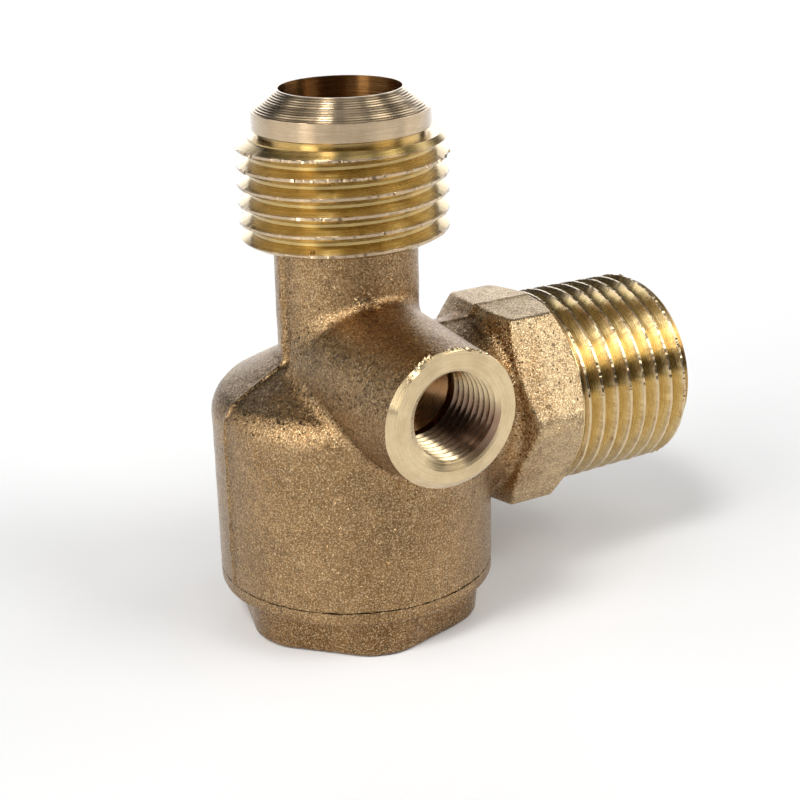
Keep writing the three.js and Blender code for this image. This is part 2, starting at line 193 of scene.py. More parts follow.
# ---------- meshes ----------
def mesh_object(name, points, faces, material):
    """An object from points in millimetres."""
    mesh = bpy.data.meshes.new(name)
    mesh.from_pydata((np.asarray(points) * MM).tolist(), [], faces)
    mesh.materials.append(material)
    mesh.validate()
    made = bpy.data.objects.new(name, mesh)
    bpy.context.scene.collection.objects.link(made)
    return made


def soften(target, turned_edge=TURNED_EDGE):
    """Smooth shading, with sharp edges where the surface turns by more than its material's angle."""
    mesh = target.data
    mesh.polygons.foreach_set("use_smooth", [True] * len(mesh.polygons))
    shape = bmesh.new()
    shape.from_mesh(mesh)
    forged = {index for index, material in enumerate(mesh.materials)
              if material.name.startswith("forged")}
    for edge in shape.edges:
        if len(edge.link_faces) != 2:
            edge.smooth = False
            continue
        both_forged = all(face.material_index in forged for face in edge.link_faces)
        limit = FORGED_EDGE if both_forged else turned_edge
        edge.smooth = edge.calc_face_angle() < math.radians(limit)
    shape.to_mesh(mesh)
    shape.free()
    return target


def combine(target, tools, operation):
    """Joins tools to the target, or cuts them from it or trims it to them, and removes the tools."""
    for tool in tools:
        step = target.modifiers.new("combine", "BOOLEAN")
        step.operation = operation
        step.solver = "MANIFOLD"
        step.material_mode = "TRANSFER"
        step.object = tool
        apply_modifiers(target)
        mesh = tool.data
        bpy.data.objects.remove(tool)
        bpy.data.meshes.remove(mesh)
    return target


def apply_modifiers(target):
    """Gives the target the mesh that its modifiers make."""
    graph = bpy.context.evaluated_depsgraph_get()
    result = bpy.data.meshes.new_from_object(target.evaluated_get(graph))
    target.modifiers.clear()
    old = target.data
    target.data = result
    bpy.data.meshes.remove(old)


def polar(radius, angle, z):
    return radius * math.cos(angle), radius * math.sin(angle), z


def turned(name, profile, material):
    """A solid turned about +Z from a closed outline of (radius, height) points, counter-clockwise."""
    points = []
    rings = []
    angles = np.linspace(0, 2 * math.pi, ROUND, endpoint=False)
    for radius, height in profile:
        if radius == 0:
            rings.append([len(points)] * ROUND)
            points.append((0, 0, height))
        else:
            rings.append(list(range(len(points), len(points) + ROUND)))
            points.extend(polar(radius, angle, height) for angle in angles)
    faces = []
    for index, ring in enumerate(rings):
        following = rings[(index + 1) % len(rings)]
        for column in range(ROUND):
            after = (column + 1) % ROUND
            corners = [ring[column], ring[after], following[after], following[column]]
            face = list(dict.fromkeys(corners))
            if len(face) > 2:
                faces.append(face)
    return mesh_object(name, points, faces, material)


# Corners of a thread as (part of a pitch, part of the height from root to crest).
THREAD_PROFILE = [
    (0.00, 0.0), (0.15, 0.0), (0.49, 0.97), (0.505, 1.0), (0.645, 1.0), (0.66, 0.97),
]
CREST_MIDDLE = 0.575
ROUGH_END = 2.2  # how many times rougher the crests of the last turns are


def threaded_rod(name, material, crest, root, pitch, crest_at, bottom, top, taper=0.0, burr=0.0):
    """A rod about +Z with a right-hand thread, longer than bottom..top so that it can be trimmed.

    Rows of points follow the helix, and each turn repeats the thread's profile. burr roughens the
    crest's edges, as a worn die leaves them.
    """
    rows_per_turn = len(THREAD_PROFILE)
    first_turn = math.floor((bottom - crest_at) / pitch) - 1
    turns = math.ceil((top - bottom) / pitch) + 2
    row_count = turns * rows_per_turn
    columns = THREAD_COLUMNS
    points = []
    roughness = smooth_random(row_count + 1, columns) * burr
    for row in range(row_count + 1):
        part, height = THREAD_PROFILE[row % rows_per_turn]
        for column in range(columns + 1):
            angle = 2 * math.pi * column / columns
            turn = first_turn + row // rows_per_turn + part + column / columns
            z = crest_at + pitch * (turn - CREST_MIDDLE)
            radius = root + (crest - root) * height - taper * (z - bottom)
            if height == 1.0 and 0 < column < columns:
                radius += roughness[row, column] * (ROUGH_END if z > top - 1.5 * pitch else 1)
            points.append(polar(radius, angle, z))
    faces = helix_faces(points, row_count, bottom - 3 * pitch, top + 3 * pitch)
    return weld(mesh_object(name, points, faces, material))


def helix_faces(points, row_count, bottom_tip_z, top_tip_z):
    """Faces between the rows of a thread, and a fan at each end whose tip is added to the points."""
    rows_per_turn = len(THREAD_PROFILE)
    across = THREAD_COLUMNS + 1
    faces = []
    for row in range(row_count):
        for a in range(row * across, row * across + THREAD_COLUMNS):
            faces.append([a, a + 1, a + 1 + across, a + across])
    bottom_edge = list(range(across)) + [row * across for row in range(rows_per_turn - 1, 0, -1)]
    last = row_count * across
    top_edge = list(range(last, last + across))
    top_edge += [(row_count - row) * across + THREAD_COLUMNS for row in range(1, rows_per_turn)]
    for edge, tip_z, downwards in ((bottom_edge, bottom_tip_z, True), (top_edge, top_tip_z, False)):
        tip = len(points)
        points.append((0, 0, tip_z))
        for index, corner in enumerate(edge):
            following = edge[(index + 1) % len(edge)]
            faces.append([tip, following, corner] if downwards else [tip, corner, following])
    return faces


def weld(target):
    """Merges the points that a helix has twice, at its start and end angle."""
    step = target.modifiers.new("weld", "WELD")
    step.merge_threshold = 1e-7
    apply_modifiers(target)
    return target


def smooth_random(rows, columns):
    """Random heights of about 1 that change over two or three columns, with rare larger ones."""
    raw = RANDOM.normal(size=(rows, columns + 1))
    blurred = (raw + np.roll(raw, 1, axis=1) + np.roll(raw, -1, axis=1)) / 1.7
    return blurred * np.where(np.abs(blurred) > 1.6, 1.8, 1.0)


def tube(name, points, sides, material):
    """A closed tube through rings of points that follow each other anticlockwise about +Z."""
    faces = []
    for index in range(len(points) // sides - 1):
        for side in range(sides):
            a = index * sides + side
            b = index * sides + (side + 1) % sides
            faces.append([a, a + sides, b + sides, b])
    faces.append(list(range(sides)))
    faces.append(list(range(len(points) - 1, len(points) - 1 - sides, -1)))
    return mesh_object(name, points, faces, material)


def lumpy_arc(name, radius, start, end, thickness, material):
    """A lumpy bead along an arc about +Z: joined on it is a burr, and cut out a ragged nick."""
    count = 6 + int((end - start) / 2)
    sides = 8
    points = []
    for index, angle in enumerate(np.radians(np.linspace(start, end, count))):
        swell = thickness * RANDOM.uniform(0.45, 1.0) * (0.4 if index in (0, count - 1) else 1.0)
        offset = RANDOM.uniform(-0.3, 0.3) * thickness
        for side in range(sides):
            turn = 2 * math.pi * side / sides
            reach = radius + offset + swell * math.cos(turn) * RANDOM.uniform(0.8, 1.1)
            points.append(polar(reach, angle, swell * math.sin(turn)))
    return tube(name, points, sides, material)


def ragged(target, height, amount):
    """Makes the flat end of a turned cutter at one height uneven towards its edge."""
    for vertex in target.data.vertices:
        if abs(vertex.co.z / MM - height) < 1e-4 and vertex.co.xy.length > 0.01:
            vertex.co.z += RANDOM.uniform(-amount, amount) * MM
    return target


def move(target, matrix):
    target.data.transform(matrix)
    return target


def raised(height):
    return Matrix.Translation((0, 0, height * MM))


def lift(target, height):
    return move(target, raised(height))


def along_outlet(target):
    """From a shape about +Z to one about +X at the outlet's height."""
    return move(target, raised(OUTLET_AXIS_Z) @ Matrix.Rotation(math.pi / 2, 4, "Y"))


def along_port(target):
    """From a shape about +Z to one about -Y at the small port's height."""
    return move(target, raised(PORT_AXIS_Z) @ Matrix.Rotation(math.pi / 2, 4, "X"))


# ---------- distance fields ----------
def round_union(a, b, radius):
    near = np.sqrt(np.maximum(radius - a, 0) ** 2 + np.maximum(radius - b, 0) ** 2)
    return np.maximum(radius, np.minimum(a, b)) - near


def round_common(a, b, radius):
    far = np.sqrt(np.maximum(radius + a, 0) ** 2 + np.maximum(radius + b, 0) ** 2)
    return np.minimum(-radius, np.maximum(a, b)) + far


def smooth_step(low, high, value):
    t = np.clip((value - low) / (high - low), 0, 1)
    return t * t * (3 - 2 * t)


def forging_field(x, y, z):
    """Distance to the valve's forging before machining: chamber, dome, neck, boss and hexagon arm."""
    radius = np.sqrt(x * x + y * y)
    slope_cosine = 1 / math.hypot(1, DOME_SLOPE)
    dome = (z - DOME_TOP_Z + (radius - NECK_RADIUS) * DOME_SLOPE) * slope_cosine
    chamber = round_common(radius - BODY_RADIUS, dome, SHOULDER_ROUND)
    neck = np.maximum(radius - NECK_RADIUS, z - NECK_TOP_Z - 0.4)
    body = round_union(chamber, neck, NECK_FILLET)
    body = round_union(body, boss_field(x, y, z), BOSS_FILLET)
    body = round_union(body, round_union(*arm_shapes(x, y, z), STUB_FILLET), ARM_FILLET)
    body = round_union(body, sliver_field(x, y, z), SLIVER_FILLET)
    body = body - flash_height(x, y, z, radius) - surface_waves(x, y, z)
    return np.maximum(body, FORGING_BOTTOM_Z - z)


def sliver_field(x, y, z):
    """A short raised sliver that the die left across the fillet between boss and neck."""
    start = np.array(SLIVER[0])
    run = np.array(SLIVER[1]) - start
    offset = (x - start[0], y - start[1], z - start[2])
    share = np.clip(sum(o * r for o, r in zip(offset, run)) / (run @ run), 0, 1)
    return np.sqrt(sum((o - share * r) ** 2 for o, r in zip(offset, run))) - SLIVER_RADIUS


def boss_field(x, y, z):
    """Distance to the round boss of the small port, which narrows towards its face."""
    across = np.sqrt((x - BOSS_OFFSET_X) ** 2 + (z - PORT_AXIS_Z - BOSS_OFFSET_Z) ** 2)
    draft = BOSS_DRAFT * np.minimum(PORT_FACE + y, BOSS_DRAFT_LENGTH)
    cone = across - (BOSS_RADIUS + draft)
    return np.maximum(np.maximum(cone, y + 2), -PORT_FACE - 0.6 - y)


def arm_shapes(x, y, z):
    """Distances to the round stub beside the chamber and to the hexagon."""
    height = z - OUTLET_AXIS_Z
    across = np.sqrt(y * y + height * height)
    stub = np.maximum(np.maximum(across - STUB_RADIUS, 5 - x), x - HEX_LEFT_X - 1)
    draft = (HEX_PEAK - HEX_APOTHEM) / (HEX_APOTHEM * math.tan(math.pi / 6))
    flat = (np.abs(height) + np.abs(y) * draft - HEX_PEAK) / math.hypot(1, draft)
    sloped = np.abs(y) * COS_30 + np.abs(height) * SIN_30 - HEX_APOTHEM
    hexagon = round_common(flat, sloped, HEX_EDGE_ROUND)
    hexagon = round_common(hexagon, np.abs(y) - HEX_HALF_WIDTH, HEX_CORNER_ROUND)
    left_cone = across - HEX_APOTHEM - (x - HEX_LEFT_X) * HEX_LEFT_STEEPNESS
    hexagon = round_common(hexagon, left_cone / math.hypot(1, HEX_LEFT_STEEPNESS), HEX_LEFT_ROUND)
    hexagon = np.maximum(np.maximum(hexagon, x - HEX_RIGHT_X - 0.3), 12 - x)
    return stub, hexagon


def flash_height(x, y, z, radius):
    """The trimmed flash stands out along the parting plane y = 0, most of all on the neck."""
    on_neck = smooth_step(28.6, 29.6, z) * smooth_step(-9.0, -8.4, -radius)
    on_arm = smooth_step(14, 16, x)
    height = FLASH_HEIGHT + FLASH_EXTRA_ON_NECK * on_neck - FLASH_LOSS_ON_ARM * on_arm
    unevenness = 1 + 0.25 * np.sin(1.9 * z + 0.8 * x) * np.sin(0.7 * z - 1.3 * x + 1)
    half_width = FLASH_HALF_WIDTH + FLASH_EXTRA_ON_NECK * on_neck
    return height * unevenness * np.exp(-((y / half_width) ** 4))


def surface_waves(x, y, z):
    """The slight unevenness of a hot-forged skin."""
    slow = np.sin(0.9 * x + 0.4 * z + 1) * np.sin(0.8 * y - 0.5 * z) * np.sin(0.7 * z + 0.3 * x + 2)
    quick = np.sin(2.3 * x - 1.1 * y) * np.sin(2.1 * z + 1.4 * y + 0.5) * np.sin(1.9 * y + 0.9 * x)
    return SLOW_WAVE * slow + QUICK_WAVE * quick


def hollow_depth(x, y, z):
    """How deep a point lies in the corners between chamber, neck, boss and arm: 0 in the open."""
    radius = np.sqrt(x * x + y * y)
    dome = DOME_TOP_Z - (radius - NECK_RADIUS) * DOME_SLOPE
    chamber = np.maximum(radius - BODY_RADIUS, z - dome)
    under_dome = 5 * (z < 26)  # there the neck's cylinder is out of sight and must not count
    distances = np.sort(np.stack([
        np.abs(radius - NECK_RADIUS) + under_dome, np.abs(chamber),
        np.abs(boss_field(x, y, z)), *np.abs(arm_shapes(x, y, z)),
    ]), axis=0)
    return 1 - smooth_step(0.3, 2.8, distances[1])


def vertex_places(target):
    places = np.empty(len(target.data.vertices) * 3)
    target.data.vertices.foreach_get("co", places)
    return places.reshape(-1, 3)


def keep_inside(target):
    """Presses the few points of an uneven skin that stand outside the CAD model's box back onto it."""
    low, high = (np.array(corner) for corner in cad_box)
    pressed = np.clip(vertex_places(target), low, high)
    target.data.vertices.foreach_set("co", pressed.ravel())
    return target


def mark_hollows(target):
    """Stores hollow_depth at every point, for the stain in the forging's corners, which is partly oxide
    and partly painted shade.
    """
    x, y, z = vertex_places(target).T / MM
    layer = target.data.attributes.new("hollow", "FLOAT", "POINT")
    layer.data.foreach_set("value", hollow_depth(x, y, z).astype(np.float32))
    return target


def hexagon_distance(u, v, apothem):
    """Distance in a plane to a hexagon with a corner on the u axis, for u and v from 0 upwards."""
    side = apothem / COS_30
    slant = u * COS_30 + v * SIN_30 - apothem
    upper = v - apothem
    along = np.clip(u, 0, side / 2)
    outside_upper = np.sqrt((u - along) ** 2 + np.maximum(upper, 0) ** 2)
    t = np.clip(((side - u) * 0.5 + v * COS_30) / side, 0, 1)
    nearest_u = side - t * side / 2
    nearest_v = t * apothem
    outside_slant = np.sqrt((u - nearest_u) ** 2 + (v - nearest_v) ** 2)
    within = np.maximum(slant, upper)
    return np.where(within > 0, np.minimum(outside_upper, outside_slant), within)


def plug_field(x, y, z):
    """Distance to the plug's forging: a hexagon with large corner rounds under a round flange."""
    towards_corner = np.abs(math.cos(PLUG_TURN) * x + math.sin(PLUG_TURN) * y)
    towards_flat = np.abs(-math.sin(PLUG_TURN) * x + math.cos(PLUG_TURN) * y)
    inner = PLUG_APOTHEM - PLUG_CORNER + PLUG_DRAFT * (z - PLUG_DRAFT_MIDDLE)
    hexagon = hexagon_distance(towards_corner, towards_flat, inner) - PLUG_CORNER
    hexagon = round_common(hexagon, -z, PLUG_EDGE_ROUND)
    hexagon = np.maximum(hexagon, z - PLUG_HEX_TOP - 0.8)
    radius = np.sqrt(x * x + y * y)
    flange = round_common(radius - BODY_RADIUS, PLUG_HEX_TOP + 0.35 - z, PLUG_FLANGE_ROUND)
    flange = np.maximum(flange, z - SEAM_Z - 0.4)
    both = round_union(hexagon, flange, PLUG_FLANGE_ROUND)
    return both - surface_waves(x + 3, y - 5, z + 40)


CELL_CORNERS = [(i, j, k) for i in (0, 1) for j in (0, 1) for k in (0, 1)]
CELL_EDGES = [(a, b) for a in CELL_CORNERS for b in CELL_CORNERS
              if sum(b) - sum(a) == 1 and min(np.subtract(b, a)) == 0]


def field_mesh(name, field, low, high, material, step):
    """The zero level of a field as a closed mesh of quads, with its points moved onto the level."""
    axes = [np.arange(l, h + step, step) for l, h in zip(low, high)]
    x, y, z = np.meshgrid(*axes, indexing="ij", sparse=True)
    values = np.ascontiguousarray(np.broadcast_to(field(x, y, z), [len(a) for a in axes]))
    inside = values < 0
    cells = tuple(n - 1 for n in values.shape)
    count = np.zeros(cells, np.int8)
    for i, j, k in CELL_CORNERS:
        count += inside[i:i + cells[0], j:j + cells[1], k:k + cells[2]]
    active = np.argwhere((count > 0) & (count < 8))
    points = np.asarray(low) + (active + mean_crossings(values, active)) * step
    for _ in range(3):
        points = towards_level(field, points, step)
    number = np.full(cells, -1, np.int32)
    number[tuple(active.T)] = np.arange(len(active))
    quads = np.concatenate([level_quads(inside, number, axis) for axis in range(3)])
    return mesh_object(name, points, quads.tolist(), material)


def mean_crossings(values, active):
    """The mean of the places where the level crosses the edges of each active cell, within the cell."""
    sums = np.zeros((len(active), 3))
    hits = np.zeros(len(active))
    for a, b in CELL_EDGES:
        value_a = values[tuple((active + a).T)]
        value_b = values[tuple((active + b).T)]
        crosses = (value_a < 0) != (value_b < 0)
        share = value_a / np.where(crosses, value_a - value_b, 1)
        place = np.asarray(a) + share[:, None] * np.subtract(b, a)
        sums += np.where(crosses[:, None], place, 0)
        hits += crosses
    return sums / hits[:, None]


def towards_level(field, points, step):
    """One Newton step of each point towards the zero level, no longer than half a grid step."""
    small = 0.01
    x, y, z = points.T
    here = field(x, y, z)
    slope = np.stack([
        field(x + small, y, z) - field(x - small, y, z),
        field(x, y + small, z) - field(x, y - small, z),
        field(x, y, z + small) - field(x, y, z - small),
    ], axis=1) / (2 * small)
    steep = np.maximum((slope ** 2).sum(axis=1), 0.25)
    shift = -(here / steep)[:, None] * slope
    length = np.linalg.norm(shift, axis=1)
    limit = np.minimum(1, 0.5 * step / np.maximum(length, 1e-9))
    return points + shift * limit[:, None]


def level_quads(inside, number, axis):
    """A quad round each grid edge along the axis that crosses the level."""
    front = np.moveaxis(inside, axis, 0)
    ids = np.moveaxis(number, axis, 0)
    starts = front[:-1, 1:-1, 1:-1]
    ends = front[1:, 1:-1, 1:-1]
    crossing = np.argwhere(starts != ends)
    i, j, k = crossing.T
    j = j + 1
    k = k + 1
    quads = np.stack([ids[i, j - 1, k - 1], ids[i, j, k - 1], ids[i, j, k], ids[i, j - 1, k]], axis=1)
    outward = starts[crossing[:, 0], crossing[:, 1], crossing[:, 2]]
    if axis == 1:
        outward = ~outward
    quads[~outward] = quads[~outward][:, ::-1]
    return quads


# ---------- materials ----------
class Tree:
    """Short names for building a node tree."""

    def __init__(self, tree):
        self.tree = tree
        self.tree.nodes.clear()

    def add(self, kind, **inputs):
        node = self.tree.nodes.new(kind)
        for name, value in inputs.items():
            self.fill(node.inputs[name.replace("_", " ")], value)
        return node

    def fill(self, socket, value):
        if isinstance(value, bpy.types.NodeSocket):
            self.tree.links.new(value, socket)
        elif socket.type == "RGBA":
            socket.default_value = (*value, 1)
        else:
            socket.default_value = value

    def math(self, operation, first, second=0.0, third=0.0):
        node = self.tree.nodes.new("ShaderNodeMath")
        node.operation = operation
        for socket, value in zip(node.inputs, (first, second, third)):
            self.fill(socket, value)
        return node.outputs[0]

    def times(self, first, second):
        return self.math("MULTIPLY", first, second)

    def vector(self, operation, first, second=None, scale=None):
        node = self.tree.nodes.new("ShaderNodeVectorMath")
        node.operation = operation
        self.fill(node.inputs[0], first)
        if second is not None:
            self.fill(node.inputs[1], second)
        if scale is not None:
            self.fill(node.inputs["Scale"], scale)
        return node.outputs["Value" if operation == "DOT_PRODUCT" else 0]

    def rise(self, value, low, high):
        """0 below low, 1 above high, smooth between."""
        node = self.tree.nodes.new("ShaderNodeMapRange")
        node.interpolation_type = "SMOOTHSTEP"
        self.fill(node.inputs[0], value)
        node.inputs[1].default_value = low
        node.inputs[2].default_value = high
        return node.outputs[0]

    def split(self, vector):
        return self.add("ShaderNodeSeparateXYZ", Vector=vector).outputs

    def fall(self, value, low, high):
        """1 below low, 0 above high, smooth between."""
        return self.math("SUBTRACT", 1.0, self.rise(value, low, high))

    def mix(self, share, first, second, mode="MIX"):
        node = self.tree.nodes.new("ShaderNodeMix")
        node.data_type = "RGBA"
        node.blend_type = mode
        for index, value in zip((0, 6, 7), (share, first, second)):
            self.fill(node.inputs[index], value)
        return node.outputs[2]


class Surface(Tree):
    """A material with one principled shader, and textures measured in millimetres of the object."""

    def __init__(self, name):
        self.material = bpy.data.materials.new(name)
        self.material.use_nodes = True
        super().__init__(self.material.node_tree)
        self.shader = self.add("ShaderNodeBsdfPrincipled")
        self.add("ShaderNodeOutputMaterial", Surface=self.shader.outputs[0])
        in_metres = self.add("ShaderNodeTexCoord").outputs["Object"]
        self.place = self.vector("SCALE", in_metres, scale=1 / MM)

    def set(self, name, value):
        self.fill(self.shader.inputs[name], value)

    def noise(self, scale, detail, roughness, place=None):
        node = self.add("ShaderNodeTexNoise", Vector=place or self.place, Scale=scale, Detail=detail,
                        Roughness=roughness)
        return node.outputs["Fac"]

    def cells(self, scale):
        """A random colour for each of many small cells."""
        return self.add("ShaderNodeTexVoronoi", Vector=self.place, Scale=scale).outputs["Color"]

    def ramp(self, value, *stops):
        """A ramp through stops of (place, colour)."""
        node = self.tree.nodes.new("ShaderNodeValToRGB")
        elements = node.color_ramp.elements
        while len(elements) < len(stops):
            elements.new(0.5)
        for element, (where, colour) in zip(elements, stops):
            element.position = where
            element.color = (*colour, 1)
        self.fill(node.inputs[0], value)
        return node.outputs[0]

    def bump(self, height, distance, normal=None):
        node = self.add("ShaderNodeBump", Height=height, Distance=distance * MM, Strength=1.0)
        if normal is not None:
            self.fill(node.inputs["Normal"], normal)
        return node.outputs[0]

    def join(self, x, y, z):
        return self.add("ShaderNodeCombineXYZ", X=x, Y=y, Z=z).outputs[0]


# The patches of the forged skin, as stops of a ramp from dark to light.
FORGED = [(0.32, (0.26, 0.15, 0.064)), (0.5, (0.33, 0.195, 0.084)), (0.7, (0.38, 0.23, 0.105))]
CLEANED = (0.55, 0.385, 0.205)  # the forged skin of the hexagon on the outlet, rubbed by handling
STAIN_AND_SHADE = (0.31, 0.145, 0.037)  # orange-brown in the forging's corners, partly oxide and partly painted shade, and in random patches a real stain
PAINTED_GLINT = (0.86, 0.68, 0.42)  # pale colour on the tips of the grain: a painted glint

# Colours that others are multiplied by.
# A painted shade: the plug below its flange is multiplied by this colour.
UNDER_FLANGE_SHADE = (0.74, 0.66, 0.54)
DULLED = (0.66, 0.66, 0.68)
# A painted shade: the pits of the grain are multiplied by this colour.
PIT_SHADE = (0.34, 0.29, 0.25)
CLOUDED = (0.72, 0.66, 0.56)
IN_GROOVES = (0.72, 0.67, 0.6)


def forged_brass():
    """Shot-blasted skin with glinting crystals, painted glints on the tips of its grain, painted shade
    in its pits, and a corner stain that is partly oxide and partly painted shade.
    """
    s = Surface("forged_brass")
    patches = s.noise(0.16, 4, 0.55)
    blotches = s.noise(0.9, 5, 0.6)
    grain = s.noise(6.4, 3, 0.75)
    parts = s.split(s.place)
    base = s.ramp(patches, *FORGED)
    rubbed = s.times(s.rise(parts[0], 13.5, 15.5), s.rise(blotches, 0.2, 0.5))
    # Painted shade: the plug darkens below its flange, which overhangs it.
    under_flange_shade = s.fall(parts[2], PLUG_HEX_TOP, PLUG_HEX_TOP + 1.6)
    base = s.mix(under_flange_shade, base, UNDER_FLANGE_SHADE, "MULTIPLY")
    cleaned = s.mix(rubbed, base, CLEANED)
    corner = s.add("ShaderNodeAttribute")
    corner.attribute_name = "hollow"
    # Painted shade, partly oxide, in the corners between chamber, neck, boss and arm; the random
    # patches below are real stain.
    corner_stain_and_shade = s.times(s.times(corner.outputs["Fac"], s.rise(parts[0], -3.0, 3.0)),
                   s.rise(s.noise(0.5, 3, 0.5), 0.3, 0.6))
    patch_heat = s.times(s.rise(s.noise(0.21, 3, 0.5), 0.56, 0.72), 0.5)
    stain_and_shade = s.times(s.math("MAXIMUM", corner_stain_and_shade, patch_heat), 0.85)
    stained_and_shaded = s.mix(stain_and_shade, cleaned, STAIN_AND_SHADE)
    dull = s.mix(0.6, stained_and_shaded, DULLED, "MULTIPLY")
    mottled = s.mix(s.rise(blotches, 0.35, 0.65), dull, stained_and_shaded)
    # Painted shade in the pits of the grain, fainter on the rubbed hexagon.
    pit_shade = s.times(s.fall(grain, 0.38, 0.54), s.math("MULTIPLY_ADD", rubbed, -0.15, 0.42))
    pit_shaded = s.mix(pit_shade, mottled, PIT_SHADE, "MULTIPLY")
    # Painted glints: pale colour on the tips of the grain, stronger on the rubbed hexagon.
    painted_glints = s.times(s.rise(grain, 0.5, 0.62), s.math("MULTIPLY_ADD", rubbed, 0.4, 0.5))
    s.set("Base Color", s.mix(painted_glints, pit_shaded, PAINTED_GLINT))
    s.set("Metallic", 1.0)
    crystals = s.cells(5.2)
    chance = s.split(crystals)
    s.set("Roughness", s.math("MULTIPLY_ADD", chance[0], 0.22, 0.14))
    tilt = s.math("MULTIPLY_ADD", s.math("POWER", chance[1], 7.0), 1.0, 0.13)
    lean = s.vector("SCALE", s.vector("SUBTRACT", crystals, (0.5, 0.5, 0.5)), scale=tilt)
    worn = s.bump(blotches, 0.05, s.bump(grain, 0.056))
    s.set("Normal", s.vector("NORMALIZE", s.vector("ADD", worn, lean)))
    return s.material


PALE = (0.64, 0.49, 0.315)  # brass where the tool last rubbed it
BRIGHT = (0.78, 0.61, 0.36)  # the same where it was cut last and is still clean
GOLDEN = (0.62, 0.445, 0.15)  # paler brass, on the crests of the inlet thread and on the collar and cone
LIGHT_GOLD = (0.80, 0.62, 0.29)  # paler still, on the crests of the outlet thread and all over the small port
PORT_WALL_SHADE = (0.24, 0.115, 0.07)  # dark brown painted on one side of the port's wall: a painted shade
BORE_SHADE = (0.38, 0.19, 0.06)  # darker brass inside the bores and in the dent of the inlet thread: a painted shade


def two_colours(s, radius, height, colours, radii, along):
    """The second colour beyond the radii and beyond the stretch along the axis, else the first."""
    within = s.times(s.rise(height, along[0] - 0.1, along[0] + 0.1),
                     s.fall(height, along[1] - 0.1, along[1] + 0.1))
    second = s.math("MAXIMUM", s.rise(radius, *radii), s.math("SUBTRACT", 1.0, within))
    return s.mix(second, *colours)


FAR = (50.0, 60.0)  # radii beyond the whole valve
ENDLESS = (-100.0, 100.0)


def turned_brass(name, axis, centre, colours, radii=FAR, along=ENDLESS, shaded_side=None):
    """Bright brass off the lathe: fine grooves run round the axis and draw highlights out across them.

    On the side that lies towards the last argument the bore's wall is painted dark brown: a painted
    shade.
    """
    s = Surface(name)
    from_axis = s.vector("SUBTRACT", s.place, centre)
    parts = s.split(from_axis)
    others = [parts[i] for i in range(3) if i != axis]
    squares = [s.times(other, other) for other in others]
    radius = s.math("SQRT", s.math("ADD", *squares))
    round_axis = s.join(radius, parts[axis], 0.0)
    grooves = s.vector("ADD", round_axis, s.vector("SCALE", s.place, scale=0.03))
    coarse = s.noise(2.6, 3, 0.6, grooves)
    fine = s.noise(9, 3, 0.65, grooves)
    blotches = s.noise(0.7, 4, 0.55)
    colour = two_colours(s, radius, parts[axis], colours, radii, along)
    # Painted shade: one side of the port's wall is painted dark brown.
    if shaded_side:
        side = s.math("DIVIDE", s.vector("DOT_PRODUCT", from_axis, shaded_side), radius)
        wall_shade = s.times(s.rise(side, 0.62, 0.95), s.fall(radius, *PORT_SHADE_END))
        colour = s.mix(s.times(wall_shade, 0.85), colour, PORT_WALL_SHADE)
    cloudy = s.mix(s.rise(blotches, 0.3, 0.7), s.mix(0.5, colour, CLOUDED, "MULTIPLY"), colour)
    grooved = s.mix(s.rise(fine, 0.3, 0.7), s.mix(0.6, cloudy, IN_GROOVES, "MULTIPLY"), cloudy)
    s.set("Base Color", grooved)
    s.set("Metallic", 1.0)
    s.set("Roughness", s.math("MULTIPLY_ADD", fine, 0.2, 0.16))
    s.set("Anisotropic", 0.95)
    s.set("Coat Weight", 1.0)
    s.set("Coat Roughness", 0.2)
    s.set("Coat IOR", 1.5)
    s.set("Anisotropic Rotation", 0.25)
    direction = tuple(1.0 if i == axis else 0.0 for i in range(3))
    s.set("Tangent", s.vector("NORMALIZE", s.vector("CROSS_PRODUCT", direction, from_axis)))
    s.set("Normal", s.bump(fine, 0.004, s.bump(coarse, 0.012)))
    return s.material


def black_rubber():
    s = Surface("black_rubber")
    cloud = s.noise(0.8, 4, 0.6)
    s.set("Base Color", s.ramp(cloud, (0.3, (0.012, 0.012, 0.012)), (0.7, (0.035, 0.034, 0.032))))
    s.set("Roughness", s.math("MULTIPLY_ADD", cloud, 0.25, 0.5))
    s.set("Normal", s.bump(s.noise(9, 3, 0.6), 0.01))
    return s.material


def spring_steel():
    s = Surface("spring_steel")
    cloud = s.noise(1.5, 3, 0.5)
    s.set("Base Color", s.ramp(cloud, (0.3, (0.42, 0.43, 0.45)), (0.7, (0.6, 0.61, 0.63))))
    s.set("Metallic", 1.0)
    s.set("Roughness", s.math("MULTIPLY_ADD", cloud, 0.15, 0.2))
    s.set("Normal", s.bump(s.noise(12, 2, 0.5), 0.003))
    return s.material


def floor_paint():
    s = Surface("floor_paint")
    cloud = s.noise(0.004, 2, 0.5)
    s.set("Base Color", s.ramp(cloud, (0.3, (0.9, 0.9, 0.9)), (0.7, (0.92, 0.92, 0.92))))
    s.set("Roughness", 0.9)
    s.set("Specular IOR Level", 0.0)
    return s.material


